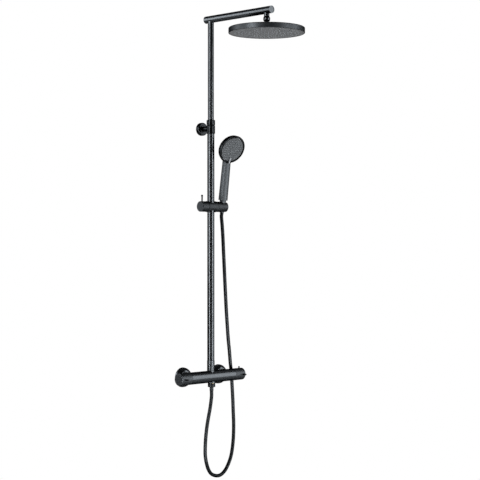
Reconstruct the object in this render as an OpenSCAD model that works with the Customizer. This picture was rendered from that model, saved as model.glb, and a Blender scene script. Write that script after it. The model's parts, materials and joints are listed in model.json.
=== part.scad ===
// Rainfall shower column: thermostatic bar valve, riser, overhead head on a swivelling
// arm, and a handset on a slider with its hose.
// The origin is on the wall, midway between the two water inlets, at the height of the
// valve bar. +X is to the right of someone facing the wall, +Y goes into the wall.

/* [Wall and column] */
// Distance from the wall to the axis of the column
standoff = 48; // [46:1:60]
// Distance between the two water inlets
inlet_spacing = 150; // [140:1:160]
// Height of the arm's axis above the valve bar
arm_z = 1093; // [1060:1:1160]
// Height of the wall bracket above the valve bar
bracket_z = 759; // [740:1:800]
// Height of the slider above the valve bar
slider_z = 520; // [150:1:700]

/* [Valve bar] */
// Diameter of the bar and of its knobs
bar_d = 37; // [36:0.5:42]
// Length of the bar between its two knobs
bar_l = 182; // [178:1:196]
// Wall round each cartridge
bar_wall = 3; // [2.5:0.25:4]
// Length of the solid middle of the bar
bar_web = 52; // [44:1:60]
// Gap between the bar and a knob
knob_seam = 0.6; // [0.4:0.1:1.2]
// Length of a knob
knob_l = 42; // [40:1:50]
// Wall of a knob
knob_wall = 2.5; // [2:0.25:3.5]
// Rounding of a knob's outer edge
knob_round = 2; // [1:0.25:2]
// Diameter of a cartridge's spindle
spindle_d = 8; // [6:0.5:10]
// Diameter of a grip pin
grip_d = 5; // [4:0.25:6]
// How far a grip pin stands out of its knob
grip_out = 13; // [8:1:18]
// Distance from a knob's end to its grip pin
grip_inset = 12; // [10:0.5:14]
// Diameter of the safety button
button_d = 5; // [4:0.25:6]
// How far the safety button stands out of its knob
button_out = 5.5; // [4:0.25:7]
// Travel of the safety button
button_travel = 2.5; // [1.5:0.25:3]

/* [Water inlets] */
// Diameter of the thread that goes into the wall
wall_thread_d = 20.955; // [20:0.005:22]
// Length of the thread that goes into the wall
wall_thread_l = 15; // [12:1:22]
// Diameter of the thread under a union nut
union_thread_d = 26.44; // [25.5:0.01:27]
// Diameter of a waterway through a union
union_bore_d = 12; // [10:0.5:13]
// Diameter of the neck behind the bar
inlet_neck_d = 20; // [19:0.5:21]
// Diameter of a union nut
union_nut_d = 31; // [30:0.5:33]
// Diameter of an escutcheon at the wall
escutcheon_d = 60; // [52:1:66]
// Depth of an escutcheon
escutcheon_h = 20; // [16:1:22]

/* [Riser] */
// Outside diameter of the lower tube
riser_d = 22; // [21.5:0.5:24]
// Wall of the lower tube
riser_wall = 1; // [0.8:0.1:1.2]
// Outside diameter of the upper tube
upper_d = 18.5; // [17.5:0.1:18.5]
// Wall of the upper tube
upper_wall = 1.2; // [1:0.1:1.6]
// Length of the upper tube inside the lower one
upper_insert = 180; // [160:1:220]
// Diameter of the nut at the foot of the riser
base_nut_d = 23.2; // [23.2:0.2:26]
// Height of the nut at the foot of the riser
base_nut_h = 30; // [26:1:40]
// Diameter of the spigot on top of the valve
spigot_d = 17; // [15:0.5:17.5]

/* [Wall bracket] */
// Diameter of the bracket's two collars
collar_d = 26; // [25.5:0.5:32]
// Height of the lower collar
collar_h = 25; // [22:1:30]
// Height of the locking nut above it
lock_nut_h = 16.4; // [15:0.2:20]
// Diameter of the post that reaches to the wall
post_d = 16; // [15:0.5:18]
// Diameter of the cover at the wall
cover_d = 40; // [38:1:50]
// Depth of the cover
cover_h = 17; // [13:0.5:18]
// Diameter of the hole for the wall screw
screw_hole_d = 5.6; // [4.6:0.2:6.2]

/* [Arm] */
// Outside diameter of the arm
arm_d = 22; // [21:0.5:25]
// Wall of the arm
arm_wall = 1.5; // [1:0.1:1.8]
// Reach from the column to the overhead head
arm_reach = 237; // [200:1:300]
// Length of arm past the head's stem
arm_nose = 21; // [19:1:40]
// Length of arm behind the column's axis
arm_tail = 21.4; // [17:0.2:24]
// Diameter of the swivel pin inside the arm
swivel_d = 13; // [11:0.5:13]
// Diameter of the stem under the arm
stem_d = 16.2; // [15:0.2:16.4]
// Distance from the arm's axis down to the ball's centre
ball_drop = 29; // [28:0.5:36]
// Diameter of the ball
ball_d = 14.8; // [14:0.1:15]
// Thickness of the ring round the ball
race_t = 0.9; // [0.7:0.1:1]
// Diameter of the ball nut
ball_nut_d = 20.6; // [20.4:0.2:24]

/* [Overhead head] */
// Diameter of the overhead head
head_d = 225; // [200:1:300]
// Distance from the ball's centre down to the nozzle face
head_drop = 39; // [36:0.5:50]
// Height of the head's rim
head_rim_h = 15; // [13:0.5:18]
// Wall of the head's shell
head_wall = 2; // [1.5:0.25:2.5]
// Diameter of the hub on top of the head
hub_d = 38; // [34:1:44]
// Diameter of the neck between ball and head
neck_d = 9; // [8:0.25:9]
// Distance between two rings of nozzles
nozzle_pitch = 10.5; // [10:0.5:14]
// Diameter of a nozzle
nozzle_d = 3; // [2.4:0.1:3.4]
// How far a nozzle stands out of its face
nozzle_out = 1.4; // [0.8:0.1:2]

/* [Slider] */
// Diameter of the slider's barrel
slider_d = 32; // [31:0.5:36]
// How much thicker its middle is than its ends
slider_step = 1; // [0.5:0.25:2]
// Length of its middle
slider_mid = 37; // [36:1:44]
// Wall of the plastic sleeve round the riser
sleeve_t = 1.5; // [1:0.1:1.6]
// Length of the locking knob
lock_l = 26.5; // [22:0.5:30]
// Diameter of the locking lever
lever_d = 4.6; // [4:0.2:6]
// How far the locking lever stands out of its knob
lever_out = 20; // [14:1:26]
// Distance from the column to the handset's axis
holder_x = 49; // [48:0.5:54]
// Length of barrel past the handset's axis
holder_end = 12.5; // [12.5:0.5:16]

/* [Handset] */
// How far the handset leans forward, in degrees
lean = 7.75; // [0:0.25:20]
// Diameter of the cone nut at its wide end
cone_d = 20.4; // [19.5:0.1:20.8]
// Diameter of the cone nut at its narrow end
cone_tip_d = 15.6; // [15.4:0.1:17]
// Diameter of the handle's foot
handle_foot_d = 28.4; // [26:0.2:30]
// Diameter of the handle under the head
handle_top_d = 25; // [23:0.2:26]
// How far the handset is turned about its handle, in degrees
handset_turn = -8; // [-20:1:20]
// Distance from the holder's centre to the middle of the spray face
face_s = 179; // [165:0.5:220]
// How far the spray face is in front of the handle's axis
face_out = 24; // [22:0.25:26]
// How much further down the spray face looks, in degrees
face_tilt = 19.5; // [12:0.25:22]
// Diameter of the rim round the spray face
rim_d = 90; // [86:1:110]
// Thickness of the rim across its face
rim_t = 5; // [4:0.25:6]
// Depth of the rim
rim_h = 10; // [9.5:0.25:11]
// Depth of the head behind the spray face
bowl_h = 24; // [22:0.5:28]
// Wall of the handset
handset_wall = 2.5; // [2:0.25:3]
// Distance between two rows of nozzles
row_pitch = 7; // [6:0.25:12]
// Distance between two nozzles of a row
row_step = 5.5; // [5:0.25:10]
// Width of the spray selector's lever
selector_w = 3.6; // [3:0.2:6]
// Length of the spray selector's lever
selector_l = 19; // [14:0.5:24]

/* [Hose] */
// Diameter of the hose
hose_d = 11; // [10:0.5:11.5]
// Diameter of the crimped ferrules
ferrule_d = 12; // [11.5:0.1:12.4]
// How far the hose's outlet is right of the riser
outlet_x = 3; // [0:0.5:8]
// Diameter of the nut under the valve
hose_nut_d = 23; // [22.6:0.2:26]
// Height of the nut under the valve
hose_nut_h = 12; // [11.5:0.1:18]
// Length of the lower ferrule below its nut
ferrule_l = 11.5; // [8:0.5:16]

/* [Fits] */
// Radial clearance of a pin or tube that turns or slides
run = 0.05; // [0.02:0.01:0.08]
// Gap between pieces that don't touch
gap = 0.3; // [0.2:0.05:0.4]

/* [Hidden] */

$fn = 64;
eps = 0.01;
black = [0.10, 0.10, 0.11];
dark_grey = [0.30, 0.31, 0.32];
silver = [0.75, 0.76, 0.78];
brass = [0.72, 0.57, 0.30];
rubber = [0.16, 0.16, 0.16];
white = [0.85, 0.86, 0.86];

// Valve bar, along X
bar_r = bar_d / 2;
cartridge_r = bar_r - bar_wall;
saddle = 1;
cartridge_from = bar_web / 2 + 1;
cartridge_nut_l = 9;
cartridge_to = bar_l / 2 - cartridge_nut_l - 2;
cartridge_fit = 0.3;
spindle_from = cartridge_to - 22;
spindle_r = spindle_d / 2;
knob_from = bar_l / 2 + knob_seam;
knob_to = knob_from + knob_l;
knob_cavity_to = knob_to - knob_wall * 2;
knob_hub_r = spindle_r + 3;
knob_hub_to = knob_cavity_to - 13;
grip_x = knob_to - grip_inset;
button_r = button_d / 2;
button_flange_r = button_r + 1.5;
button_flange_t = 1.5;
// The flange stops under the knob's roof, which is lower beside the button's axis
button_flange_z = sqrt(pow(bar_r - knob_wall, 2) - pow(button_flange_r, 2)) - gap;
spring_wire_d = 0.8;
spring_coil_r = button_r - 0.2;
spring_seat_z = spring_wire_d;

// Water inlets, measured out from the wall
union_hex_to = 4;
union_to = 14;
filter_t = 2;
neck_flange_t = 3;
neck_flange_from = union_to + filter_t;
neck_flange_to = neck_flange_from + neck_flange_t;
neck_flange_r = union_thread_d / 2 - 0.8;
union_nut_from = union_hex_to + 1;
union_nut_to = neck_flange_to + 5;
union_nut_bore_r = union_thread_d / 2 + run;
check_valve_seat_t = 1.5;
check_valve_l = standoff - cartridge_r - check_valve_seat_t - neck_flange_from;
check_valve_r = 7.4;
escutcheon_wall = 1.5;
escutcheon_hole_r = union_nut_d / 2 + gap;

// Riser, above the valve bar
saddle_top = bar_r + saddle;
base_nut_from = saddle_top + gap;
base_nut_to = base_nut_from + base_nut_h;
spigot_top = base_nut_from + base_nut_h * 0.6;
lower_bore_r = riser_d / 2 - riser_wall;
base_plug_l = 15;
upper_r = upper_d / 2;
collar_from = bracket_z - 16;
collar_to = collar_from + collar_h;
collar_lip = 4;
collet_flange_t = 1.5;
collet_flange_r = riser_d / 2 - 0.2;
lower_tube_to = collar_to - collar_lip - collet_flange_t;
collet_grip_r = upper_r + run + 0.95;
collet_l = 28;
lock_nut_from = collar_to + 0.6;
lock_nut_to = lock_nut_from + lock_nut_h;
lock_thread_r = collar_d / 2 - 1.5;
lock_thread_to = collar_to + 10;
collet_to = lock_thread_to + 0.4;
collar_bevel = 1.2;
post_hub_r = 5.95;
cover_r = cover_d / 2;
cover_wall = 1.5;
cover_back_round = 4;
base_disc_r = cover_r - cover_back_round - cover_wall - gap;
base_disc_t = 5;
base_hub_to = cover_h + 7;
post_from = base_disc_t + 3;
screw_head_hole_r = 4.7;
screw_seat = base_hub_to - 4;
grub_d = 3;
grub_w = cover_h + 3;

// Arm, above the riser
arm_r = arm_d / 2;
arm_bore_r = arm_r - arm_wall;
stub_z = arm_z - arm_r - 4;
upper_top = stub_z - gap;
upper_from = lower_tube_to - upper_insert;
swivel_r = swivel_d / 2;
swivel_top = arm_z + 4;
swivel_plug_t = 10;
block_r = arm_bore_r - run;
block_l = 28;
seal_groove = 1.1;
seal_w = 2;
cap_t = 3;
cap_recess = 0.8;
arm_front = arm_reach + arm_nose;
stem_r = stem_d / 2;
stem_thread_r = stem_r - 1.65;
stem_shoulder = arm_z - 7;
stem_top = arm_z - 1;
ball_z = arm_z - ball_drop;
ball_r = ball_d / 2;
race_r = ball_r + run + race_t;
race_half = 3;
socket_r = race_r + run;
stem_foot = ball_z + socket_r - 0.9;
ball_nut_r = ball_nut_d / 2;
ball_nut_from = ball_z - 5;
ball_nut_to = ball_z + 11;
waterway_r = 4;

// Overhead head, with its own zero height at the nozzle face
head_r = head_d / 2;
hub_r = hub_d / 2;
hub_top = head_drop - 7.2;
hub_edge = hub_top - 2;
neck_r = neck_d / 2;
head_face_t = 2;
head_face_from = 0.6;
head_face_to = head_face_from + head_face_t;
head_face_r = head_r - head_wall - gap;
head_seal_t = 2;
head_ledge = head_face_to + head_seal_t;
mat_t = 1.5;
nozzle_rings = floor((head_r - head_wall - 13) / nozzle_pitch);
mat_r = nozzle_rings * nozzle_pitch + 6;
nozzle_r = nozzle_d / 2;

// Slider, along X, and handset
slider_r = slider_d / 2;
slider_mid_r = slider_r + slider_step;
riser_run_r = riser_d / 2 + run;
sleeve_r = riser_run_r + sleeve_t;
barrel_seam = 0.4;
lock_from = -slider_mid / 2 - barrel_seam - lock_l;
lock_to = -slider_mid / 2 - barrel_seam;
lever_x = lock_from + 8.5;
holder_from = slider_mid / 2 + barrel_seam;
holder_to = holder_x + holder_end;
axle_r = 4;
axle_head_r = 6;
axle_from = sleeve_r + 1;
axle_to = holder_from + 8;
barrel_round = 1.5;
// The hose leaves sideways through the holder's slot, and its cone nut can't
slot_w = hose_d + 1.6;
cone_to = slider_r + 4.6;
cone_from = -slider_r;
cone_r = cone_d / 2;
cone_tip_r = cone_tip_d / 2;
handle_from = cone_to + 0.5;
handle_spigot_r = 7.5;
handle_spigot_from = cone_to - 11;
ferrule_r = ferrule_d / 2;
ferrule_flange_r = handle_spigot_r - 0.3;
ferrule_flange_t = 2;
ferrule_flange_from = 4.5;
cone_lip_to = ferrule_flange_from - gap;
upper_ferrule_from = -20;
rim_r = rim_d / 2;
rim_in_r = rim_r - rim_t;
rim_front = 1.4;
selector_gap = 2;
face_r = rim_in_r - selector_gap;
face_t = 3;
handset_mat_t = 1.5;
handset_mat_r = face_r - 1.5;
selector_t = 1.2;
selector_r = rim_in_r - 0.4;
selector_top = rim_front + 3.2;
carrier_from = -7;
carrier_to = -face_t - handset_mat_t - gap;
bowl_r = rim_r - 2;
bowl_from = -rim_h - gap;
// The handle ends inside the bowl; its wide bore stops below the rim
neck_s = face_s - 18;
handle_bore_to = face_s - (rim_r + 1) * cos(face_tilt) - 10;
handset_way_r = 4;
way_back = handle_top_d / 2 - handset_way_r - 1.5;

// Hose, from the valve to the handset
hose_r = hose_d / 2;
hose_nut_top = -bar_r - saddle - gap;
hose_nut_foot = hose_nut_top - hose_nut_h;
hose_nut_lip = 1.8;
hose_washer_t = 2;
lower_flange_t = 1.6;
lower_flange_from = hose_nut_foot + hose_nut_lip;
nipple_foot = lower_flange_from + lower_flange_t + hose_washer_t;
lower_flange_r = wall_thread_d / 2 - 0.8;
lower_ferrule_foot = hose_nut_foot - ferrule_l;
HOSE_SIDES = 10;
HOSE_STEPS = 2;
// Points on the hose: X, how far behind the column's axis, and height
HOSE_LOOP = [[3, 0, -60], [1, 1, -80], [-2.5, 2, -102], [-7, 4, -127], [-11, 6, -154],
    [-13.5, 8, -183], [-15, 9, -212], [-14, 10, -240], [-9, 10, -265], [1, 11, -287],
    [14, 12, -301], [30, 12, -308], [47, 13, -310], [62, 14, -306], [77, 15, -296],
    [91, 16, -279], [103, 17, -257], [112, 19, -229], [118, 21, -196], [121, 23, -158],
    [121, 25, -118], [120, 26, -78], [118, 27, -38], [115, 27, 0]];
HOSE_RISE = [[110, 27, 35], [104, 25, 72], [97, 23, 110], [90, 20, 152], [83, 17, 198],
    [78, 15, 240], [72, 12, 286], [67, 10, 334], [62, 8, 382], [57.5, 6, 424],
    [53, 4.5, 460]];
HOSE_RISE_FOR = 520;
HOSE_ROUTE = concat([[outlet_x, -standoff, lower_ferrule_foot],
    [outlet_x, -standoff, lower_ferrule_foot - 6]],
    [for (q = HOSE_LOOP) [q[0], q[1] - standoff, q[2]]],
    [for (q = HOSE_RISE) [q[0], q[1] - standoff, q[2] * slider_z / HOSE_RISE_FOR]],
    [for (s = [10, 5, 2 * eps]) on_handle_axis(upper_ferrule_from - s)]);

function on_handle_axis(s) =
    [holder_x, -standoff - s * sin(lean), slider_z + s * cos(lean)];

// ---------- shared shapes ----------

module on_column() {
    translate([0, -standoff, 0]) children();
}

// Turns a shape drawn along Z so that it runs along X
module along_x(x) {
    translate([x, 0, 0]) rotate([0, 90, 0]) children();
}

module on_outlet() {
    translate([outlet_x, -standoff, 0]) children();
}

// Places a shape drawn upward from the wall at one inlet, so that it runs out of the wall
module at_inlet(side) {
    translate([side * inlet_spacing / 2, 0, 0]) rotate([90, 0, 0]) children();
}

module at_bracket() {
    translate([0, 0, bracket_z]) rotate([90, 0, 0]) children();
}

module at_arm(reach) {
    translate([0, -standoff - reach, arm_z]) rotate([90, 0, 0]) children();
}

module at_ball() {
    translate([0, -standoff - arm_reach, ball_z]) children();
}

module at_head() {
    translate([0, -standoff - arm_reach, ball_z - head_drop]) children();
}

module at_slider() {
    translate([0, -standoff, slider_z]) children();
}

// Z runs up the handle, with its zero at the centre of the holder
module on_handle() {
    at_slider() translate([holder_x, 0, 0]) rotate([lean, 0, 0]) children();
}

// The same, turned with the handset
module on_handset() {
    on_handle() rotate([0, 0, handset_turn]) children();
}

// Z runs out of the spray face, with its zero on the face
module on_face() {
    on_handset() translate([0, -face_out, face_s]) rotate([90 + face_tilt, 0, 0]) children();
}

module pipe(r, bore, h) {
    difference() {
        cylinder(r = r, h = h);
        translate([0, 0, -eps]) cylinder(r = bore, h = h + 2 * eps);
    }
}

// A cylinder with a bevel at each end
module bevelled(r, h, bevel) {
    rotate_extrude() polygon([[0, 0], [r - bevel, 0], [r, bevel], [r, h - bevel],
        [r - bevel, h], [0, h]]);
}

// Points on an arc, from angle a to angle b
function arc(x, y, rx, ry, a, b, n = 8) =
    [for (i = [0 : n]) let (t = a + (b - a) * i / n) [x + rx * cos(t), y + ry * sin(t)]];

function bezier_mid(a, b, c, d, t) =
    0.5 * (2 * b + (c - a) * t + (2 * a - 5 * b + 4 * c - d) * t * t
    + (3 * b - a - 3 * c + d) * t * t * t);

// A smooth line through the points
function smooth(p, n) =
    let (last = len(p) - 1)
    [for (i = [0 : last - 1]) for (k = [0 : n - 1])
        bezier_mid(p[max(i - 1, 0)], p[i], p[i + 1], p[min(i + 2, last)], k / n), p[last]];

function unit(v) = v / norm(v);

function heading(p, i) = unit(p[min(i + 1, len(p) - 1)] - p[max(i - 1, 0)]);

// Ring of points square to the line at point i, with a fixed side direction
function ring_at(p, i, r, sides, side) =
    let (t = heading(p, i), u = unit(cross(side, t)), v = cross(t, u))
    [for (k = [0 : sides - 1]) let (a = 360 * k / sides) p[i] + r * (u * cos(a) + v * sin(a))];

module sweep(p, r, sides, side) {
    n = len(p);
    rings = [for (i = [0 : n - 1]) each ring_at(p, i, r, sides, side)];
    walls = [for (i = [0 : n - 2]) for (k = [0 : sides - 1])
        let (a = i * sides + k, b = i * sides + (k + 1) % sides)
        [a, b, b + sides, a + sides]];
    start = [[for (k = [sides - 1 : -1 : 0]) k]];
    end = [[for (k = [0 : sides - 1]) (n - 1) * sides + k]];
    polyhedron(points = rings, faces = concat(start, walls, end), convexity = 10);
}

// ---------- valve bar ----------

module inlet_neck(side) {
    at_inlet(side) {
        translate([0, 0, neck_flange_from]) cylinder(r = neck_flange_r, h = neck_flange_t);
        translate([0, 0, neck_flange_from])
            cylinder(r = inlet_neck_d / 2, h = standoff - neck_flange_from);
    }
}

module bar_solid() {
    on_column() {
        along_x(-bar_l / 2) cylinder(r = bar_r, h = bar_l);
        cylinder(r = base_nut_d / 2, h = saddle_top);
        cylinder(r = spigot_d / 2, h = spigot_top);
    }
    on_outlet() mirror([0, 0, 1]) cylinder(r = hose_nut_d / 2, h = bar_r + saddle);
    for (side = [-1, 1]) inlet_neck(side);
}

// The mixed water crosses the middle; the upper and lower ways lead to riser and hose
module bar_waterways() {
    way_r = 3;
    way_z = bar_r / 2;
    on_column() {
        along_x(-cartridge_from) cylinder(r = way_r, h = 2 * cartridge_from);
        for (up = [-1, 1]) translate([0, 0, up * way_z]) along_x(-cartridge_from)
            cylinder(r = way_r, h = cartridge_from + outlet_x);
        translate([0, 0, way_z]) cylinder(r = 5, h = spigot_top);
    }
    on_outlet() mirror([0, 0, 1]) translate([0, 0, way_z]) cylinder(r = 5, h = bar_r);
}

module valve_body() {
    color(black) difference() {
        bar_solid();
        on_column() for (side = [0, 1]) mirror([side, 0, 0])
            along_x(bar_web / 2) cylinder(r = cartridge_r, h = bar_l);
        bar_waterways();
        on_outlet() translate([0, 0, hose_nut_top - eps])
            cylinder(r = 8 + run, h = bar_r - 8);
        for (side = [-1, 1]) at_inlet(side) {
            translate([0, 0, neck_flange_from - eps])
                cylinder(r = check_valve_r + run, h = check_valve_l + eps);
            translate([0, 0, neck_flange_from]) cylinder(r = 5, h = standoff - neck_flange_from);
        }
    }
}

module inlet_unions() {
    color(brass) for (side = [-1, 1]) at_inlet(side) difference() {
        union() {
            translate([0, 0, -wall_thread_l])
                cylinder(r = wall_thread_d / 2, h = wall_thread_l + eps);
            cylinder(r = union_thread_d / 2 + 1.5, h = union_hex_to, $fn = 6);
            cylinder(r = union_thread_d / 2, h = union_to);
        }
        translate([0, 0, -wall_thread_l - eps])
            cylinder(r = union_bore_d / 2, h = wall_thread_l + union_to + 2 * eps);
    }
}

module union_nuts() {
    color(black) for (side = [-1, 1]) at_inlet(side) difference() {
        translate([0, 0, union_nut_from])
            bevelled(union_nut_d / 2, union_nut_to - union_nut_from, 1);
        translate([0, 0, union_nut_from - eps])
            cylinder(r = union_nut_bore_r, h = neck_flange_to - union_nut_from + eps);
        translate([0, 0, union_nut_from])
            cylinder(r = inlet_neck_d / 2 + run, h = union_nut_to);
    }
}

module escutcheons() {
    dome_r = escutcheon_d / 2;
    lip_r = escutcheon_hole_r + escutcheon_wall;
    foot = 2;
    inner_r = dome_r - escutcheon_wall;
    inner_h = escutcheon_h - escutcheon_wall;
    profile = concat([[dome_r, 0]],
        arc(lip_r, foot, dome_r - lip_r, escutcheon_h - foot, 0, 90),
        [[escutcheon_hole_r, escutcheon_h], [escutcheon_hole_r, inner_h]],
        arc(escutcheon_hole_r, foot, inner_r - escutcheon_hole_r, inner_h - foot, 90, 0),
        [[inner_r, 0]]);
    color(black) for (side = [-1, 1]) at_inlet(side) rotate_extrude() polygon(profile);
}

module inlet_filters() {
    color(rubber) for (side = [-1, 1]) at_inlet(side) translate([0, 0, union_to])
        pipe(neck_flange_r, union_bore_d / 2, filter_t);
}

module check_valves() {
    color(white) for (side = [-1, 1]) at_inlet(side) translate([0, 0, neck_flange_from])
        pipe(check_valve_r, 4, check_valve_l);
}

module thermostatic_cartridge() {
    color(brass) on_column() difference() {
        union() {
            along_x(cartridge_from)
                cylinder(r = cartridge_r - cartridge_fit, h = cartridge_to - cartridge_from);
        }
        along_x(spindle_from - 1)
            cylinder(r = spindle_r + run, h = cartridge_to - spindle_from + 2);
        // groove between the hot and cold chambers
        along_x(inlet_spacing / 2 - 12) pipe(cartridge_r + 1, cartridge_r - 3, 5);
    }
}

module diverter_cartridge() {
    color(brass) on_column() mirror([1, 0, 0]) difference() {
        along_x(cartridge_from)
            cylinder(r = cartridge_r - cartridge_fit, h = cartridge_to - cartridge_from);
        along_x(spindle_from - 1)
            cylinder(r = spindle_r + run, h = cartridge_to - spindle_from + 2);
        along_x(inlet_spacing / 2 - 24) pipe(cartridge_r + 1, cartridge_r - 2.5, 8);
    }
}

module cartridge_nuts() {
    color(brass) on_column() for (side = [0, 1]) mirror([side, 0, 0]) along_x(cartridge_to)
        pipe(cartridge_r - run, spindle_r + 2, cartridge_nut_l);
}

// A knob is a cup that opens towards the bar
module knob() {
    mouth_r = bar_r - knob_wall;
    difference() {
        union() {
            difference() {
                along_x(knob_from) rotate_extrude() polygon(concat([[0, 0], [bar_r, 0]],
                    arc(bar_r - knob_round, knob_l - knob_round, knob_round, knob_round, 0, 90, 5),
                    [[0, knob_l]]));
                along_x(knob_from - eps) cylinder(r = mouth_r, h = knob_cavity_to - knob_from);
            }
            along_x(knob_hub_to - 16) cylinder(r = knob_hub_r, h = knob_cavity_to - knob_hub_to + 17);
        }
        along_x(knob_hub_to - 17) cylinder(r = spindle_r + eps, h = 15);
        // seat of the grip pin
        translate([grip_x, 0, 0]) rotate([90, 0, 0]) translate([0, 0, mouth_r - 2])
            cylinder(r = grip_d / 2 - 1 + eps, h = bar_r);
        // room for the button and its spring beside the hub
        translate([grip_x, 0, spring_seat_z]) cylinder(r = button_flange_r + gap, h = mouth_r - 3);
    }
}

module grip() {
    translate([grip_x, 0, 0]) rotate([90, 0, 0]) {
        translate([0, 0, bar_r]) bevelled(grip_d / 2, grip_out, 0.6);
        translate([0, 0, bar_r - knob_wall]) cylinder(r = grip_d / 2 - 1, h = knob_wall + 1);
    }
}

module spindle() {
    along_x(spindle_from) cylinder(r = spindle_r, h = knob_hub_to - 2 - spindle_from);
}

module temperature_knob() {
    color(black) on_column() difference() {
        knob();
        translate([grip_x, 0, button_flange_z]) cylinder(r = button_r + run, h = bar_r);
    }
}

module temperature_grip() {
    color(black) on_column() grip();
}

module temperature_spindle() {
    color(brass) on_column() spindle();
}

module safety_button() {
    color(black) on_column() translate([grip_x, 0, 0]) {
        translate([0, 0, button_flange_z - button_flange_t])
            cylinder(r = button_r, h = bar_r + button_out - button_flange_z + button_flange_t - 0.8);
        translate([0, 0, bar_r + button_out - 0.8 - eps])
            cylinder(r1 = button_r, r2 = button_r - 0.8, h = 0.8);
        translate([0, 0, button_flange_z - button_flange_t])
            cylinder(r = button_flange_r, h = button_flange_t);
    }
}

module button_spring() {
    turns = 5;
    low = spring_seat_z + spring_wire_d / 2;
    high = button_flange_z - button_flange_t - spring_wire_d / 2;
    coil = [for (a = [0 : 30 : 360 * turns])
        [grip_x + spring_coil_r * cos(a), -standoff + spring_coil_r * sin(a),
        low + (high - low) * a / (360 * turns)]];
    color(silver) sweep(coil, spring_wire_d / 2, 6, [0, 0, 1]);
}

module flow_knob() {
    color(black) on_column() mirror([1, 0, 0]) knob();
}

module flow_grip() {
    color(black) on_column() mirror([1, 0, 0]) grip();
}

module flow_spindle() {
    color(brass) on_column() mirror([1, 0, 0]) spindle();
}

// ---------- hose and its fittings ----------

module hose_outlet() {
    color(brass) on_outlet() difference() {
        union() {
            translate([0, 0, nipple_foot])
                cylinder(r = wall_thread_d / 2, h = hose_nut_top + gap - nipple_foot);
            translate([0, 0, hose_nut_top]) cylinder(r = 8, h = bar_r - 9);
        }
        translate([0, 0, nipple_foot - 1]) cylinder(r = 5, h = bar_r + 20);
    }
}

module hose_nut() {
    color(black) on_outlet() difference() {
        translate([0, 0, hose_nut_foot]) bevelled(hose_nut_d / 2, hose_nut_h, 0.8);
        translate([0, 0, lower_flange_from])
            cylinder(r = wall_thread_d / 2 + run, h = hose_nut_h);
        translate([0, 0, hose_nut_foot - eps]) cylinder(r = ferrule_r + gap, h = hose_nut_h);
    }
}

module hose_washer() {
    color(rubber) on_outlet() translate([0, 0, nipple_foot - hose_washer_t])
        pipe(lower_flange_r, 5, hose_washer_t);
}

module hose_lower_ferrule() {
    foot = lower_ferrule_foot;
    color(black) on_outlet() difference() {
        union() {
            translate([0, 0, lower_flange_from])
                cylinder(r = lower_flange_r, h = lower_flange_t);
            translate([0, 0, foot]) cylinder(r = ferrule_r, h = lower_flange_from - foot);
        }
        translate([0, 0, foot + 3]) cylinder(r = 4, h = 40);
    }
}

module shower_hose() {
    color(black) sweep(smooth(HOSE_ROUTE, HOSE_STEPS), hose_r, HOSE_SIDES, [0, 1, 0]);
}

// ---------- riser and wall bracket ----------

module riser_base_nut() {
    color(black) on_column() difference() {
        union() {
            translate([0, 0, base_nut_from]) bevelled(base_nut_d / 2, base_nut_h, 0.6);
            translate([0, 0, base_nut_to - eps])
                cylinder(r = lower_bore_r - run, h = base_plug_l);
        }
        translate([0, 0, base_nut_from - eps])
            cylinder(r = spigot_d / 2 + run, h = spigot_top - base_nut_from + 1);
        translate([0, 0, base_nut_from]) cylinder(r = 6.5, h = base_nut_h + base_plug_l);
    }
}

module lower_riser_tube() {
    color(black) on_column() translate([0, 0, base_nut_to])
        pipe(riser_d / 2, lower_bore_r, lower_tube_to - base_nut_to);
}

module bracket_base() {
    color(silver) at_bracket() difference() {
        union() {
            cylinder(r = base_disc_r, h = base_disc_t);
            cylinder(r = post_hub_r, h = base_hub_to);
        }
        translate([0, 0, -eps]) cylinder(r = screw_hole_d / 2, h = base_hub_to + 1);
        translate([0, 0, screw_seat]) cylinder(r = screw_head_hole_r, h = base_hub_to);
    }
}

// Half the section of a drum whose two edges are rounded, from the wall to its face
function drum(r, face) =
    concat(arc(r - cover_back_round, 5, cover_back_round, 5, -90, 0, 5),
    arc(r - 3, face - 3, 3, 3, 0, 90, 5));

// A drum with rounded edges and a low step round the post
module bracket_cover() {
    face = cover_h - 2;
    hole_r = post_d / 2 + gap;
    step_r = post_d / 2 + 4;
    inside = drum(cover_r - cover_wall, face - cover_wall);
    color(black) at_bracket() rotate_extrude() polygon(concat(drum(cover_r, face),
        [[step_r, face], [step_r, cover_h - 0.5], [step_r - 0.5, cover_h], [hole_r, cover_h],
        [hole_r, face - cover_wall]], [for (i = [len(inside) - 1 : -1 : 0]) inside[i]]));
}

module bracket_collar() {
    color(black) difference() {
        union() {
            on_column() translate([0, 0, collar_from]) bevelled(collar_d / 2, collar_h, collar_bevel);
            on_column() translate([0, 0, collar_to - collar_bevel])
                cylinder(r = lock_thread_r, h = lock_thread_to - collar_to + collar_bevel);
            at_bracket() translate([0, 0, post_from])
                cylinder(r = post_d / 2, h = standoff - post_from);
        }
        on_column() {
            translate([0, 0, collar_from - eps])
                cylinder(r = riser_d / 2 + run, h = collar_h - collar_lip + eps);
            translate([0, 0, collar_from]) cylinder(r = collet_grip_r + run, h = collar_h + 20);
        }
        at_bracket() translate([0, 0, post_from - eps])
            cylinder(r = post_hub_r + run, h = base_hub_to - post_from + 1);
        at_bracket() translate([0, 0, grub_w]) rotate([90, 0, 0])
            cylinder(r = grub_d / 2 + run, h = post_d);
    }
}

module bracket_grub_screw() {
    color(silver) at_bracket() translate([0, -post_hub_r - run, grub_w]) rotate([90, 0, 0])
        difference() {
            cylinder(r = grub_d / 2, h = post_d / 2 - post_hub_r - 0.6);
            translate([0, 0, 0.6]) cylinder(r = 0.9, h = post_d, $fn = 6);
        }
}

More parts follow.
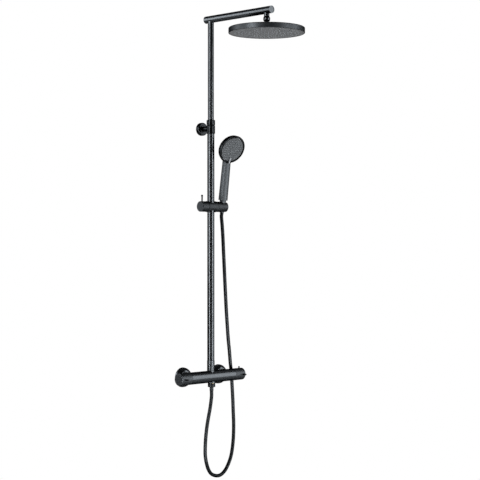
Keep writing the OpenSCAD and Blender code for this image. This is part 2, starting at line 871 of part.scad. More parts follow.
module riser_lock_nut() {
    color(black) on_column() difference() {
        translate([0, 0, lock_nut_from]) bevelled(collar_d / 2, lock_nut_h, collar_bevel);
        translate([0, 0, lock_nut_from - eps])
            cylinder(r = lock_thread_r + run, h = collet_to + gap - lock_nut_from);
        translate([0, 0, lock_nut_from]) cylinder(r = upper_r + run, h = lock_nut_h + 1);
    }
}

// Sleeve that guides the upper tube, with a slit gripping end inside the locking nut
module riser_collet() {
    color(white) on_column() difference() {
        union() {
            translate([0, 0, lower_tube_to - collet_l])
                cylinder(r = lower_bore_r - run, h = collet_l);
            translate([0, 0, lower_tube_to]) cylinder(r = collet_flange_r, h = collet_flange_t);
            translate([0, 0, lower_tube_to])
                cylinder(r = collet_grip_r, h = collet_to - lower_tube_to);
        }
        translate([0, 0, lower_tube_to - collet_l - 1]) cylinder(r = upper_r + run, h = collet_l * 3);
        for (a = [0, 90]) rotate(a)
            translate([-riser_d, -0.6, lower_tube_to + collet_flange_t + 2])
                cube([2 * riser_d, 1.2, collet_l]);
    }
}

module upper_riser_tube() {
    color(black) on_column() difference() {
        union() {
            translate([0, 0, upper_from]) cylinder(r = upper_r, h = upper_top - upper_from);
            translate([0, 0, upper_top - eps]) cylinder(r = swivel_r, h = swivel_top - upper_top);
        }
        translate([0, 0, upper_from - eps])
            cylinder(r = upper_r - upper_wall, h = upper_top - swivel_plug_t - upper_from);
        translate([0, 0, upper_from]) cylinder(r = waterway_r, h = swivel_top - upper_from + 1);
        for (z = seal_heights()) translate([0, 0, z])
            pipe(swivel_r + 1, swivel_r - seal_groove, seal_w + 0.2);
    }
}

function seal_heights() = [arm_z - 8.5, arm_z - 5];

module swivel_seals() {
    color(rubber) on_column() for (z = seal_heights()) translate([0, 0, z + 0.1])
        pipe(swivel_r, swivel_r - seal_groove + run, seal_w);
}

// ---------- arm ----------

module arm_tube() {
    color(black) difference() {
        union() {
            at_arm(-arm_tail) cylinder(r = arm_r, h = arm_tail + arm_front);
            on_column() translate([0, 0, stub_z]) cylinder(r = upper_r, h = arm_z - stub_z);
        }
        at_arm(-arm_tail) translate([0, 0, -eps])
            cylinder(r = arm_bore_r, h = arm_tail + arm_front + 2 * eps);
        on_column() translate([0, 0, stub_z - eps])
            cylinder(r = swivel_r + gap, h = arm_z - stub_z);
        translate([0, -standoff - arm_reach, stub_z]) cylinder(r = stem_r + run, h = arm_z - stub_z);
    }
}

module arm_end_caps() {
    color(black) {
        at_arm(-arm_tail) translate([0, 0, cap_recess]) cylinder(r = arm_bore_r - run, h = cap_t);
        at_arm(arm_front) translate([0, 0, -cap_recess - cap_t])
            cylinder(r = arm_bore_r - run, h = cap_t);
    }
}

module arm_swivel_block() {
    back = arm_tail - cap_recess - cap_t;
    color(brass) difference() {
        at_arm(-back) cylinder(r = block_r, h = back + block_l / 2);
        on_column() translate([0, 0, arm_z - arm_r])
            cylinder(r = swivel_r + run, h = swivel_top - arm_z + arm_r + gap);
        at_arm(0) cylinder(r = waterway_r, h = block_l);
    }
}

module arm_outlet_block() {
    color(brass) difference() {
        at_arm(arm_reach - block_l / 2)
            cylinder(r = block_r, h = block_l / 2 + arm_nose - cap_recess - cap_t);
        translate([0, -standoff - arm_reach, 0]) {
            translate([0, 0, arm_z - arm_r]) cylinder(r = stem_r + run, h = arm_r + stem_shoulder - arm_z);
            translate([0, 0, arm_z - arm_r])
                cylinder(r = stem_thread_r + run, h = arm_r + stem_top - arm_z + gap);
        }
        at_arm(arm_reach - block_l) cylinder(r = waterway_r, h = block_l);
    }
}

module head_stem() {
    color(black) translate([0, -standoff - arm_reach, 0]) difference() {
        union() {
            translate([0, 0, stem_foot]) cylinder(r = stem_r, h = stem_shoulder - stem_foot);
            translate([0, 0, stem_shoulder - eps])
                cylinder(r = stem_thread_r, h = stem_top - stem_shoulder);
        }
        translate([0, 0, stem_foot - 1]) cylinder(r = waterway_r, h = arm_r + ball_drop);
    }
}

module ball_nut() {
    h = ball_nut_to - ball_nut_from;
    profile = concat([[0, 0]], arc(0, h / 2, ball_nut_r, h * 0.75, -38, 38), [[0, h]]);
    color(black) difference() {
        at_ball() translate([0, 0, ball_nut_from - ball_z]) rotate_extrude()
            polygon([for (q = profile) [q[0], min(max(q[1], 0), h)]]);
        at_ball() sphere(r = socket_r);
        at_ball() cylinder(r = socket_r, h = stem_foot - ball_z);
        at_ball() cylinder(r = stem_r + run, h = h);
    }
}

module ball_race() {
    color(white) at_ball() difference() {
        intersection() {
            sphere(r = race_r);
            translate([0, 0, -race_half]) cylinder(r = race_r + 1, h = 2 * race_half);
        }
        sphere(r = ball_r + run);
    }
}

// ---------- overhead head ----------

module head_ball() {
    foot = head_ledge + 3;
    flange_t = 2;
    plate_z = foot + flange_t;
    color(silver) difference() {
        union() {
            at_ball() sphere(r = ball_r);
            at_head() translate([0, 0, foot]) cylinder(r = neck_r, h = head_drop - foot);
            at_head() translate([0, 0, hub_inner_z() - flange_t]) cylinder(r = neck_r + 4, h = flange_t);
        }
        at_head() translate([0, 0, plate_z - 10]) cylinder(r = neck_r - 1.8, h = head_drop + 20);
    }
}

// Height of the shell's inner side round the neck
function hub_inner_z() = hub_top - 6;

module head_shell() {
    shoulder = head_rim_h;
    round_r = 2.5;
    outside = concat([[neck_r + run, hub_top], [hub_r * 0.55, hub_top], [hub_r, hub_edge],
        [hub_r + 6, hub_edge - 1.5]],
        arc(head_r - round_r, shoulder - round_r + 1, round_r, round_r, 80, 0, 5),
        [[head_r, 0.8], [head_r - 0.8, 0]]);
    inside = [[head_r - head_wall, 0], [head_r - head_wall, head_ledge],
        [head_r - head_wall - 4, head_ledge], [head_r - head_wall - 4, shoulder - head_wall - 1],
        [hub_r + 6, hub_edge - 1.5 - head_wall], [hub_r, hub_inner_z()],
        [neck_r + run, hub_inner_z()]];
    color(black) at_head() rotate_extrude($fn = 96) polygon(concat(outside, inside));
}

function ring_places(n, pitch) =
    concat([[0, 0]], [for (k = [1 : n]) for (i = [0 : 6 * k - 1])
        let (a = 60 * i / k + 15 * (k % 2)) [k * pitch * cos(a), k * pitch * sin(a)]]);

// A nozzle that narrows towards its tip, drawn upward from its root
module nozzle(h) {
    cylinder(r1 = nozzle_r, r2 = nozzle_r - 0.5, h = h, $fn = 24);
}

module head_face() {
    color(dark_grey) at_head() difference() {
        translate([0, 0, head_face_from]) cylinder(r = head_face_r, h = head_face_t);
        for (q = ring_places(nozzle_rings, nozzle_pitch)) translate([q[0], q[1], -1])
            cylinder(r = nozzle_r + 0.1, h = head_face_to + 2, $fn = 24);
    }
}

module head_nozzles() {
    color(rubber) at_head() {
        translate([0, 0, head_face_to]) cylinder(r = mat_r, h = mat_t);
        for (q = ring_places(nozzle_rings, nozzle_pitch))
            translate([q[0], q[1], head_face_to + eps]) mirror([0, 0, 1])
                nozzle(head_face_to + nozzle_out - head_face_from + eps);
    }
}

module head_seal() {
    color(rubber) at_head() translate([0, 0, head_face_to])
        pipe(head_r - head_wall - 0.5, head_r - head_wall - 4, head_seal_t);
}

// ---------- slider ----------

module slider_body() {
    color(black) at_slider() difference() {
        along_x(-slider_mid / 2) bevelled(slider_mid_r, slider_mid, 0.8);
        translate([0, 0, -slider_d]) cylinder(r = sleeve_r + run, h = 2 * slider_d);
        along_x(-slider_mid / 2 - eps) cylinder(r = axle_r + run, h = slider_mid);
        along_x(axle_from - eps) cylinder(r = axle_r + run, h = slider_mid);
    }
}

module slider_sleeve() {
    half = sqrt(pow(slider_mid_r, 2) - pow(sleeve_r, 2));
    color(white) at_slider() difference() {
        translate([0, 0, -half]) cylinder(r = sleeve_r, h = 2 * half);
        translate([0, 0, -slider_d]) cylinder(r = riser_run_r, h = 2 * slider_d);
        translate([0, -0.75, -slider_d]) cube([slider_d, 1.5, 2 * slider_d]);
    }
}

module holder_axle() {
    color(silver) at_slider() {
        along_x(axle_from) cylinder(r = axle_r, h = axle_to - axle_from);
    }
}

module lock_knob() {
    color(black) at_slider() difference() {
        union() {
            along_x(lock_from) bevelled(slider_r, lock_l, barrel_round);
            along_x(lock_to - eps) cylinder(r = axle_r, h = -lock_to - sleeve_r - 0.5);
        }
        translate([lever_x, 0, slider_r - 6]) cylinder(r = lever_d / 2 - 0.6 + eps, h = slider_r);
    }
}

module lock_lever() {
    ball = lever_d / 2 + 0.9;
    color(black) at_slider() translate([lever_x, 0, 0]) {
        translate([0, 0, slider_r - 5]) cylinder(r = lever_d / 2 - 0.6, h = lever_out);
        translate([0, 0, slider_r]) cylinder(r = lever_d / 2, h = lever_out - ball);
        translate([0, 0, slider_r + lever_out - ball]) sphere(r = ball);
    }
}

module handset_holder() {
    slope = (cone_r - cone_tip_r) / (cone_to - cone_from);
    spare = 3;
    color(black) difference() {
        at_slider() along_x(holder_from) bevelled(slider_r, holder_to - holder_from, barrel_round);
        on_handle() translate([0, 0, cone_from - spare])
            cylinder(r1 = cone_tip_r + gap - slope * spare, r2 = cone_r + gap + slope * spare,
                h = cone_to - cone_from + 2 * spare);
        on_handle() translate([0, -slot_w / 2, -slider_d]) cube([slider_d, slot_w, 2 * slider_d]);
        at_slider() along_x(holder_from - eps)
            cylinder(r = axle_r + run, h = axle_to - holder_from + gap);
    }
}

// ---------- handset ----------

module hose_upper_ferrule() {
    color(black) on_handle() difference() {
        union() {
            translate([0, 0, upper_ferrule_from])
                cylinder(r = ferrule_r, h = ferrule_flange_from - upper_ferrule_from);
            translate([0, 0, ferrule_flange_from])
                cylinder(r = ferrule_flange_r, h = ferrule_flange_t);
        }
        translate([0, 0, upper_ferrule_from + 3]) cylinder(r = 4, h = 60);
    }
}

module hose_cone_nut() {
    color(black) on_handle() difference() {
        translate([0, 0, cone_from]) cylinder(r1 = cone_tip_r, r2 = cone_r, h = cone_to - cone_from);
        translate([0, 0, cone_from - eps]) cylinder(r = ferrule_r + run, h = cone_to - cone_from);
        translate([0, 0, cone_lip_to])
            cylinder(r = handle_spigot_r + run, h = cone_to - cone_lip_to + 1);
    }
}

module handset_washer() {
    top = handle_spigot_from;
    low = ferrule_flange_from + ferrule_flange_t + gap;
    color(rubber) on_handle() translate([0, 0, low]) pipe(handle_spigot_r - 0.2, 4, top - low);
}

module bowl(r, depth, from) {
    rotate_extrude($fn = 96) polygon(concat([[0, from], [r, from]],
        arc(0, from, r, depth + from, 0, -90, 12)));
}

module handset_body() {
    color(black) difference() {
        union() {
            on_handle() translate([0, 0, handle_from]) cylinder(r1 = handle_foot_d / 2,
                r2 = handle_top_d / 2, h = neck_s - handle_from);
            on_handle() translate([0, 0, neck_s]) sphere(r = handle_top_d / 2);
            on_handle() translate([0, 0, handle_spigot_from])
                cylinder(r = handle_spigot_r, h = handle_from - handle_spigot_from + 1);
            on_face() bowl(bowl_r, bowl_h, bowl_from);
        }
        on_face() translate([0, 0, bowl_from]) cylinder(r = rim_r + gap, h = bowl_h);
        on_face() bowl(bowl_r - handset_wall, bowl_h - handset_wall, bowl_from + eps);
        on_handle() translate([0, 0, handle_from + 20]) cylinder(
            r1 = handle_foot_d / 2 - handset_wall - 2, r2 = handle_top_d / 2 - handset_wall,
            h = handle_bore_to - handle_from - 20);
        on_handset() translate([0, way_back, handle_bore_to - 5])
            cylinder(r = handset_way_r, h = neck_s - handle_bore_to + 5);
        on_handle() translate([0, 0, handle_spigot_from - eps]) cylinder(r = 5, h = 60);
    }
}

module handset_rim() {
    profile = concat([[rim_in_r, -rim_h], [rim_r - 2, -rim_h]],
        arc(rim_r - 2.5, -2.5, 2.5, 2.5 + rim_front, -10, 90, 6), [[rim_in_r + 0.6, rim_front],
        [rim_in_r, rim_front - 0.6]]);
    color(black) on_face() rotate_extrude($fn = 96) polygon(profile);
}

function row_places(r) =
    let (rows = floor(r / row_pitch))
    [for (j = [-rows : rows]) let (y = j * row_pitch, n = floor(sqrt(r * r - y * y) / row_step))
        for (i = [-n : n]) [i * row_step, y]];

module handset_face() {
    color(dark_grey) on_face() difference() {
        translate([0, 0, -face_t]) cylinder(r = face_r, h = face_t);
        for (q = row_places(handset_mat_r - 3)) translate([q[0], q[1], -face_t - 1])
            cylinder(r = nozzle_r + 0.1, h = face_t + 2, $fn = 24);
    }
}

module handset_nozzles() {
    color(rubber) on_face() {
        translate([0, 0, -face_t - handset_mat_t]) cylinder(r = handset_mat_r, h = handset_mat_t);
        for (q = row_places(handset_mat_r - 3)) translate([q[0], q[1], -face_t - eps])
            nozzle(face_t + nozzle_out + eps);
    }
}

// A ring behind the spray face, whose lever comes out through the gap round that face
module spray_selector() {
    lever_from = selector_r - selector_l + 5;
    color(silver) on_face() {
        translate([0, 0, carrier_from])
            pipe(selector_r, face_r - 5, carrier_to - carrier_from);
        translate([-selector_w / 2, -selector_r, carrier_from])
            intersection() {
                cube([selector_w, selector_t, selector_top - carrier_from]);
                translate([selector_w / 2, selector_r, 0])
                    cylinder(r = selector_r, h = selector_top - carrier_from + 1);
            }
        translate([-selector_w / 2, -lever_from - selector_l, selector_top - 2])
            cube([selector_w, selector_l, 2]);
    }
}

valve_body();
inlet_unions();
union_nuts();
escutcheons();
inlet_filters();
check_valves();
thermostatic_cartridge();
diverter_cartridge();
cartridge_nuts();
temperature_knob();
temperature_grip();
temperature_spindle();
safety_button();
button_spring();
flow_knob();
flow_grip();
flow_spindle();
hose_outlet();
hose_nut();
hose_washer();
hose_lower_ferrule();
shower_hose();
riser_base_nut();
lower_riser_tube();
bracket_base();
bracket_cover();
bracket_collar();
bracket_grub_screw();
riser_lock_nut();
riser_collet();
upper_riser_tube();
swivel_seals();
arm_tube();
arm_end_caps();
arm_swivel_block();
arm_outlet_block();
head_stem();
ball_nut();
ball_race();
head_ball();
head_shell();
head_face();
head_nozzles();
head_seal();
slider_body();
slider_sleeve();
holder_axle();
lock_knob();
lock_lever();
handset_holder();
hose_upper_ferrule();
hose_cone_nut();
handset_washer();
handset_body();
handset_rim();
handset_face();
handset_nozzles();
spray_selector();
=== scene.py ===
import json
import math

import bmesh
import bpy
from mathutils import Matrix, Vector


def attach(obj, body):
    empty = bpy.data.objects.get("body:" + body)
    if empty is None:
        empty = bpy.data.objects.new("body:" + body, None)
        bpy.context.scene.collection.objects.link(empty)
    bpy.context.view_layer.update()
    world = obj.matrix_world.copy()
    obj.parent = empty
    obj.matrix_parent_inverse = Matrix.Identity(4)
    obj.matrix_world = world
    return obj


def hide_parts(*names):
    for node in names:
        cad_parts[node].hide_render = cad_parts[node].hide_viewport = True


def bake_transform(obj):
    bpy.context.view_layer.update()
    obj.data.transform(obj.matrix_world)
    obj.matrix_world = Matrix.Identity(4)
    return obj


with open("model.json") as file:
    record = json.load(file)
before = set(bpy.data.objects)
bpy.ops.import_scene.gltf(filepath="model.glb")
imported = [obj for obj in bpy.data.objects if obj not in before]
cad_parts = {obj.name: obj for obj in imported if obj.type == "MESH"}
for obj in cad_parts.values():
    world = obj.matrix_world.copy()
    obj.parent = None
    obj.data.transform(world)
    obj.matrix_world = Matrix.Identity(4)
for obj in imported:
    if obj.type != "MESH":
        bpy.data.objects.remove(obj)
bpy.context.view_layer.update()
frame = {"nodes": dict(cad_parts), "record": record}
SCENE = bpy.context.scene
MM = 0.001
COLUMN_MM = -48  # y of the riser's axis, in front of the wall
COLUMN_Y = COLUMN_MM * MM
HOLDER = Vector((49, COLUMN_MM, 520)) * MM  # the middle of the handset's holder
LEAN = math.radians(7.75)  # the handset leans its top away from the wall
HANDSET_WAY = Vector((0, -math.sin(LEAN), math.cos(LEAN)))  # up along the handset

# ---------------------------------------------------------------- camera

CAMERA_AT = (-2.8474, -3.0216, 0.418)
CAMERA_TURN = (math.radians(90), 0, math.radians(-45))
CAMERA_LENS = 100.875
SENSOR_WIDTH = 36.0

camera_data = bpy.data.cameras.new("camera")
camera_data.lens = CAMERA_LENS
camera_data.sensor_width = SENSOR_WIDTH
camera = bpy.data.objects.new("camera", camera_data)
camera.location = CAMERA_AT
camera.rotation_euler = CAMERA_TURN
SCENE.collection.objects.link(camera)
SCENE.camera = camera

# ---------------------------------------------------------------- mesh tools


def mesh_object(name, points, faces, smooth=True):
    """An object with that mesh, its faces turned outward."""
    mesh = bpy.data.meshes.new(name)
    mesh.from_pydata([tuple(p) for p in points], [], faces)
    bm = bmesh.new()
    bm.from_mesh(mesh)
    bmesh.ops.recalc_face_normals(bm, faces=bm.faces)
    bm.to_mesh(mesh)
    bm.free()
    for polygon in mesh.polygons:
        polygon.use_smooth = smooth
    obj = bpy.data.objects.new(name, mesh)
    SCENE.collection.objects.link(obj)
    return obj


def spline_point(a, b, c, d, t):
    """A point between b and c, a share t of the way; a and d are the points beside them."""
    return 0.5 * (2 * b + (c - a) * t + (2 * a - 5 * b + 4 * c - d) * t * t
                  + (3 * b - a - 3 * c + d) * t * t * t)


def smooth_line(points, steps):
    """A smooth line through the points."""
    last = len(points) - 1
    line = []
    for i in range(last):
        for k in range(steps):
            line.append(spline_point(points[max(i - 1, 0)], points[i], points[i + 1],
                                     points[min(i + 2, last)], k / steps))
    line.append(points[last])
    return line


def even_line(line, spacing):
    """The same line with points at an even spacing."""
    lengths = [0.0]
    for a, b in zip(line, line[1:]):
        lengths.append(lengths[-1] + (b - a).length)
    count = max(2, round(lengths[-1] / spacing))
    out, j = [], 0
    for i in range(count + 1):
        s = lengths[-1] * i / count
        while j < len(line) - 2 and lengths[j + 1] < s:
            j += 1
        t = (s - lengths[j]) / max(lengths[j + 1] - lengths[j], 1e-9)
        out.append(line[j].lerp(line[j + 1], min(max(t, 0.0), 1.0)))
    return out


def frames_along(line, side):
    """Two directions square to the line at each of its points, without twist."""
    out = []
    u = None
    for i in range(len(line)):
        t = (line[min(i + 1, len(line) - 1)] - line[max(i - 1, 0)]).normalized()
        u = side.cross(t) if u is None else u - t * u.dot(t)
        u.normalize()
        out.append((u.copy(), t.cross(u)))
    return out


def line_length(line):
    return sum((b - a).length for a, b in zip(line, line[1:]))


def tube_mesh(name, line, frames, radius, sides):
    """A closed tube; radius is a function of a point's index and its angle."""
    points, faces = [], []
    for i, (p, (u, v)) in enumerate(zip(line, frames)):
        for k in range(sides):
            a = 2 * math.pi * k / sides
            points.append(p + (u * math.cos(a) + v * math.sin(a)) * radius(i, a))
    for i in range(len(line) - 1):
        for k in range(sides):
            n = (k + 1) % sides
            near, far = i * sides, (i + 1) * sides
            faces.append((near + k, near + n, far + n, far + k))
    last = (len(line) - 1) * sides
    faces.append(tuple(range(sides - 1, -1, -1)))
    faces.append(tuple(range(last, last + sides)))
    return mesh_object(name, points, faces)


# ---------------------------------------------------------------- hose

HOSE_D = 11 * MM
HOSE_SPACING = 0.7 * MM  # between its rings of points
HOSE_SIDES = 20
SPLINE_STEPS = 12  # points from one point of the route to the next
RIB_PITCH = 3.0 * MM
RIB_DEPTH = 0.05 * MM
FERRULE_END = -20 * MM  # the upper ferrule's lower end, along the handset from HOLDER
FERRULE_GAP = 0.02 * MM  # between the hose and that ferrule
COLLAR_L = 6 * MM  # last bit of the hose, which ends at the ferrule and follows it
JOIN_Z = 410 * MM  # height where the hose's long run gives over to its top piece

# Route of the hose from the outlet to the handset, in mm: x, y from the riser's axis, z
HOSE_MM = [
    (3, 0, -43.3), (3, 0, -49.3), (3, 0, -60), (1, 1, -80), (-2.5, 2, -102),
    (-7, 4, -127), (-11, 6, -154), (-13.5, 8, -183), (-15, 9, -212), (-14, 10, -240),
    (-9, 10, -265), (1, 11, -287), (14, 12, -301), (30, 12, -308), (47, 13, -310),
    (62, 14, -306), (77, 15, -296), (91, 16, -279), (103, 17, -257), (112, 19, -229),
    (118, 21, -196), (121, 23, -158), (121, 25, -118), (120, 26, -78), (118, 27, -38),
    (115, 27, 0), (110, 27, 35), (104, 25, 72), (97, 23, 110), (90, 20, 152),
    (83, 17, 198), (78, 15, 240), (72, 12, 286), (67, 10, 334), (62, 8, 382),
    (57.5, 6, 424), (53, 4.5, 460)]

hose_points = [Vector((x, COLUMN_MM + y, z)) * MM for x, y, z in HOSE_MM]
for back in (10 * MM, 5 * MM, FERRULE_GAP):
    hose_points.append(HOLDER + HANDSET_WAY * (FERRULE_END - back))
hose_line = even_line(smooth_line(hose_points, SPLINE_STEPS), HOSE_SPACING)
hose_frames = frames_along(hose_line, Vector((0, 1, 0)))
hose_step = line_length(hose_line) / (len(hose_line) - 1)


def hose_radius(index, angle):
    """The hose's radius, with a shallow groove that winds round it."""
    turn = 2 * math.pi * index * hose_step / RIB_PITCH - angle
    return HOSE_D / 2 - RIB_DEPTH * (0.5 + 0.5 * math.cos(turn)) ** 3


def hose_part(name, first, last):
    return tube_mesh(name, hose_line[first:last + 1], hose_frames[first:last + 1],
                     lambda i, a: hose_radius(i + first, a), HOSE_SIDES)


def hose_cord(name, first, last):
    """A part of the hose."""
    part = hose_part(name, first, last)
    return part


at_end = len(hose_line) - 1
at_bottom = min(range(len(hose_line)), key=lambda i: hose_line[i].z)
at_join = next(i for i, p in enumerate(hose_line) if i > at_bottom and p.z > JOIN_Z)
at_collar = at_end - round(COLLAR_L / hose_step)

hose_loop = hose_cord("hose_loop", 0, at_bottom)
hose_run = hose_cord("hose_run", at_bottom, at_join)
hose_top = hose_cord("hose_top", at_join, at_collar)
hose_collar = hose_part("hose_collar", at_collar, at_end)
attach(hose_loop, "valve")
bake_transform(hose_run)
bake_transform(hose_top)
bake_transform(hose_collar)
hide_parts("shower_hose")
hose_parts = (hose_loop, hose_run, hose_top, hose_collar)

# ---------------------------------------------------------------- button spring

# It gets shorter as the button on the temperature knob is pushed.
SPRING_X = 121.6 * MM
SPRING_R = 2.3 * MM
SPRING_LOW = 1.2 * MM
SPRING_HIGH = 13.23 * MM
SPRING_TURNS = 5
SPRING_STEPS = 24  # points in one turn
WIRE_R = 0.4 * MM
WIRE_SIDES = 8


def spring_point(i):
    a = 2 * math.pi * i / SPRING_STEPS
    rise = (SPRING_HIGH - SPRING_LOW) * i / (SPRING_TURNS * SPRING_STEPS)
    return Vector((SPRING_X + SPRING_R * math.cos(a), COLUMN_Y + SPRING_R * math.sin(a),
                   SPRING_LOW + rise))


spring_line = [spring_point(i) for i in range(SPRING_TURNS * SPRING_STEPS + 1)]
spring_frames = frames_along(spring_line, Vector((0, 0, 1)))
knob_spring = tube_mesh("knob_spring", spring_line, spring_frames, lambda i, a: WIRE_R,
                        WIRE_SIDES)
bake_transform(knob_spring)
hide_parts("button_spring")

# ---------------------------------------------------------------- node tools


def first_of(tree, kind):
    return next(n for n in tree.nodes if n.type == kind)


def math_node(tree, operation, a, b):
    """A value from a and b, each a number or a socket."""
    node = tree.nodes.new("ShaderNodeMath")
    node.operation = operation
    for socket, value in zip(node.inputs, (a, b)):
        if isinstance(value, float):
            socket.default_value = value
        else:
            tree.links.new(value, socket)
    return node.outputs[0]


def map_range(tree, value, start, stop, low, high):
    """Low up to start, high from stop on, and a straight slope between them."""
    node = tree.nodes.new("ShaderNodeMapRange")
    for key, number in (("From Min", start), ("From Max", stop), ("To Min", low),
                        ("To Max", high)):
        node.inputs[key].default_value = number
    tree.links.new(value, node.inputs["Value"])
    return node.outputs["Result"]


def vector_value(tree, operation, vector, other=(0, 0, 0)):
    node = tree.nodes.new("ShaderNodeVectorMath")
    node.operation = operation
    node.inputs[1].default_value = other
    tree.links.new(vector, node.inputs[0])
    return node.outputs["Value"]


def mix_shader(tree, share, first, second):
    node = tree.nodes.new("ShaderNodeMixShader")
    for socket, value in zip(node.inputs, (share, first, second)):
        tree.links.new(value, socket)
    return node.outputs[0]


# ---------------------------------------------------------------- materials

PATCH_SCALE = 40.0
GRAIN_SCALE = 1500.0
GRAIN_DEPTH = 0.02 * MM
NOISE_ROUGHNESS = 0.55
NOISE_LOW, NOISE_HIGH = 0.3, 0.7  # most values of a noise lie between these
MATERIALS = {}


def new_material(name):
    """A material, its node tree and its shader."""
    material = bpy.data.materials.new(name)
    material.use_nodes = True
    tree = material.node_tree
    return material, tree, first_of(tree, "BSDF_PRINCIPLED")


def noise(tree, place, scale, detail):
    node = tree.nodes.new("ShaderNodeTexNoise")
    node.inputs["Scale"].default_value = scale
    node.inputs["Detail"].default_value = detail
    node.inputs["Roughness"].default_value = NOISE_ROUGHNESS
    tree.links.new(place, node.inputs["Vector"])
    return node.outputs["Fac"]


def colour_between(tree, value, dark, light):
    node = tree.nodes.new("ShaderNodeValToRGB")
    for element, position, colour in zip(node.color_ramp.elements, (NOISE_LOW, NOISE_HIGH),
                                         (dark, light)):
        element.position = position
        element.color = (*colour, 1.0)
    tree.links.new(value, node.inputs["Fac"])
    return node.outputs["Color"]


def finish(name, dark, light, rough, metallic=0.0, edge=1.0, grain=0.15):
    """Slow patches of colour and gloss over fine grain; edge is how much the rims reflect."""
    material, tree, shader = new_material(name)
    place = tree.nodes.new("ShaderNodeTexCoord").outputs["Object"]
    slow = noise(tree, place, PATCH_SCALE, 4.0)
    fine = noise(tree, place, GRAIN_SCALE, 2.0)
    tree.links.new(colour_between(tree, slow, dark, light), shader.inputs["Base Color"])
    tree.links.new(map_range(tree, slow, NOISE_LOW, NOISE_HIGH, *rough),
                   shader.inputs["Roughness"])
    shader.inputs["Metallic"].default_value = metallic
    shader.inputs["Specular Tint"].default_value = (edge, edge, edge, 1.0)
    bump = tree.nodes.new("ShaderNodeBump")
    bump.inputs["Strength"].default_value = grain
    bump.inputs["Distance"].default_value = GRAIN_DEPTH
    tree.links.new(fine, bump.inputs["Height"])
    tree.links.new(bump.outputs["Normal"], shader.inputs["Normal"])
    MATERIALS[name] = material


def grey(value):
    return (value, value, value * 1.03)


def blue_black(value):
    return (value, value * 1.05, value * 1.10)


def black_coat(name, low, high, rough, grain=0.01):
    """A black coat with a soft shine, dark at its rims."""
    finish(name, blue_black(low), blue_black(high), rough, metallic=1.0, edge=0.0, grain=grain)


def matt_black(name, low, high, rough):
    finish(name, blue_black(low), blue_black(high), rough)


black_coat("black_metal", 0.048, 0.054, (0.20, 0.22))
black_coat("satin_metal", 0.056, 0.062, (0.25, 0.29))
# lighter copy of black_metal: painted highlight, worn by the arm tube
black_coat("pale_metal", 0.072, 0.080, (0.25, 0.29))
# darker copy of black_metal: painted shade for the pieces given it in OTHER_FINISH
black_coat("dark_metal", 0.016, 0.020, (0.24, 0.28))
black_coat("black_plastic", 0.050, 0.058, (0.40, 0.46), grain=0.03)
black_coat("dull_plastic", 0.032, 0.038, (0.40, 0.46), grain=0.03)
black_coat("soft_black", 0.060, 0.068, (0.49, 0.55), grain=0.03)
black_coat("hose", 0.012, 0.015, (0.28, 0.34), grain=0.05)
matt_black("nozzle_rubber", 0.13, 0.15, (0.5, 0.6))
matt_black("grey_plastic", 0.028, 0.034, (0.50, 0.58))
matt_black("dark_plastic", 0.014, 0.018, (0.50, 0.58))
finish("brass", (0.55, 0.39, 0.16), (0.66, 0.48, 0.22), (0.22, 0.38), metallic=1.0)
finish("steel", grey(0.50), grey(0.60), (0.22, 0.36), metallic=1.0)
finish("rubber", grey(0.05), grey(0.07), (0.6, 0.75), grain=0.4)
finish("white_plastic", grey(0.68), grey(0.74), (0.4, 0.5))
finish("silver_plastic", grey(0.40), grey(0.48), (0.25, 0.32), metallic=0.9)

# CAD pieces that don't wear the finish of their slot's name. dark_metal is a darker copy of
# black_metal, painted shade on the pieces that look shaded; pale_metal is a lighter copy, a
# painted highlight on the arm.
OTHER_FINISH = {
    "dark_metal": ("bracket_cover", "bracket_collar", "riser_lock_nut", "lock_lever",
                   "temperature_grip", "flow_grip", "hose_nut", "hose_lower_ferrule",
                   "hose_upper_ferrule", "handset_rim"),
    "satin_metal": ("valve_body", "riser_base_nut"),
    "pale_metal": ("arm_tube",),
    "soft_black": ("handset_body",),
    "dark_plastic": ("head_face",),
    "dull_plastic": ("slider_body", "handset_holder", "lock_knob"),
    "nozzle_rubber": ("head_nozzles", "handset_nozzles"),
}


def wear(obj, material):
    obj.data.materials.clear()
    obj.data.materials.append(material)
    for polygon in obj.data.polygons:
        polygon.material_index = 0


finish_of = {s["node"]: s["material_slot"] for s in frame["record"]["subparts"]}
for material_name, node_names in OTHER_FINISH.items():
    finish_of.update(dict.fromkeys(node_names, material_name))
for node_name, obj in frame["nodes"].items():
    wear(obj, MATERIALS[finish_of[node_name]])
for part in hose_parts:
    wear(part, MATERIALS["hose"])
wear(knob_spring, MATERIALS["steel"])

# ---------------------------------------------------------------- lights

LIGHT_COLOUR = (0.93, 0.97, 1.0)
MIDDLE = Vector((0, COLUMN_Y, 0.4))  # what the lights face


def light_round(name, degrees, distance, rise, width, height, power):
    """A soft light, degrees round from the front to the right and rise above MIDDLE."""
    data = bpy.data.lights.new(name, "AREA")
    data.shape = "RECTANGLE"
    data.size, data.size_y = width, height
    data.energy = power
    data.color = LIGHT_COLOUR
    a = math.radians(degrees)
    obj = bpy.data.objects.new(name, data)
    obj.location = MIDDLE + Vector((math.sin(a) * distance, -math.cos(a) * distance, rise))
    obj.rotation_euler = (MIDDLE - obj.location).to_track_quat("-Z", "Y").to_euler()
    obj.visible_camera = False
    SCENE.collection.objects.link(obj)


light_round("light_left", -86, 2.8, 0.0, 0.44, 3.6, 95)
light_round("light_right", 11.5, 2.8, -0.3, 0.46, 2.2, 58)
light_round("light_bar", 46, 4.5, 0.75, 1.3, 4.6, 108)
light_round("light_back", -138, 3.2, 0.87, 1.0, 2.2, 42)
light_round("light_low", -28, 2.3, -1.2, 0.9, 0.4, 44)

# ---------------------------------------------------------------- background and floor

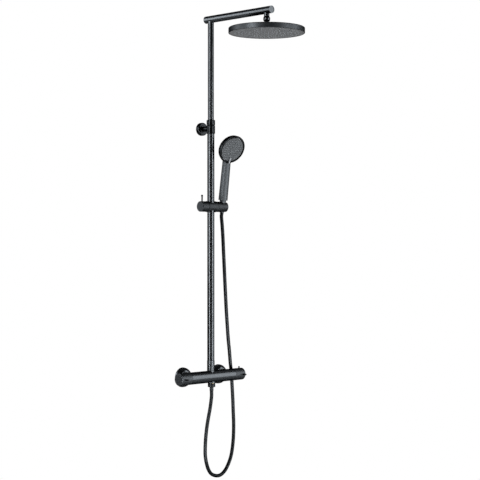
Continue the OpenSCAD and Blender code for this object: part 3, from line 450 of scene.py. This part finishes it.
AWAY = (math.sqrt(0.5), math.sqrt(0.5), 0)  # the way the camera looks
WORLD_STRENGTH = 0.06
WORLD_WHITE = (0.2, 0.7)  # how far a reflected direction points AWAY, from dark to white
FLOOR_Z = -1.05
FLOOR_HALF = 12.0
FLOOR_COLOUR = (0.8, 0.8, 0.8, 1)
FLOOR_ROUGHNESS = 0.9
FLOOR_WHITE = (1.0, 4.0)  # how far AWAY a reflected spot of floor is, from dark to white
FLOOR_FADE = (1.2, 3.8)  # distance from the middle over which the floor's shadow fades
FLOOR_NEAR_SHARE = 0.75  # how white the camera sees the floor nearer than that
CLEAR_OVER = 0.001  # slope of view over which the floor turns clear


def white_where_seen(tree, plain, white, place, turn, camera_share):
    """White to the camera, and behind the object also in what metal and glass reflect."""
    path = tree.nodes.new("ShaderNodeLightPath")
    depth = vector_value(tree, "DOT_PRODUCT", place, AWAY)
    mirrored = math_node(tree, "MAXIMUM", path.outputs["Is Glossy Ray"],
                         path.outputs["Is Transmission Ray"])
    mirrored = math_node(tree, "MULTIPLY", mirrored, map_range(tree, depth, *turn, 0.0, 1.0))
    direct = math_node(tree, "MULTIPLY", path.outputs["Is Camera Ray"], camera_share)
    return mix_shader(tree, math_node(tree, "MAXIMUM", direct, mirrored), plain, white)


def dress_world():
    world = bpy.data.worlds.new("studio")
    SCENE.world = world
    world.use_nodes = True
    tree = world.node_tree
    plain = first_of(tree, "BACKGROUND")
    plain.inputs["Color"].default_value = (*LIGHT_COLOUR, 1)
    plain.inputs["Strength"].default_value = WORLD_STRENGTH
    white = tree.nodes.new("ShaderNodeBackground")
    white.inputs["Color"].default_value = (1, 1, 1, 1)
    place = tree.nodes.new("ShaderNodeTexCoord").outputs["Generated"]
    shade = white_where_seen(tree, plain.outputs[0], white.outputs[0], place, WORLD_WHITE, 1.0)
    tree.links.new(shade, first_of(tree, "OUTPUT_WORLD").inputs["Surface"])


def floor_material():
    """White to the camera, but for the shadow near the object; clear when seen from below."""
    material, tree, shader = new_material("floor")
    shader.inputs["Base Color"].default_value = FLOOR_COLOUR
    shader.inputs["Roughness"].default_value = FLOOR_ROUGHNESS
    white = tree.nodes.new("ShaderNodeEmission")
    place = tree.nodes.new("ShaderNodeTexCoord").outputs["Object"]
    far_off = vector_value(tree, "LENGTH", place)
    camera_share = map_range(tree, far_off, *FLOOR_FADE, FLOOR_NEAR_SHARE, 1.0)
    above = white_where_seen(tree, shader.outputs[0], white.outputs[0], place, FLOOR_WHITE,
                             camera_share)
    incoming = tree.nodes.new("ShaderNodeNewGeometry").outputs["Incoming"]
    slope = vector_value(tree, "DOT_PRODUCT", incoming, (0, 0, 1))
    from_below = map_range(tree, slope, -CLEAR_OVER, CLEAR_OVER, 1.0, 0.0)
    clear = tree.nodes.new("ShaderNodeBsdfTransparent").outputs[0]
    tree.links.new(mix_shader(tree, from_below, above, clear),
                   first_of(tree, "OUTPUT_MATERIAL").inputs["Surface"])
    return material


dress_world()
corners = [(x * FLOOR_HALF, y * FLOOR_HALF, FLOOR_Z)
           for x, y in ((-1, -1), (1, -1), (1, 1), (-1, 1))]
floor = mesh_object("floor", corners, [(0, 1, 2, 3)], smooth=False)
wear(floor, floor_material())

SCENE.view_settings.view_transform = "Standard"
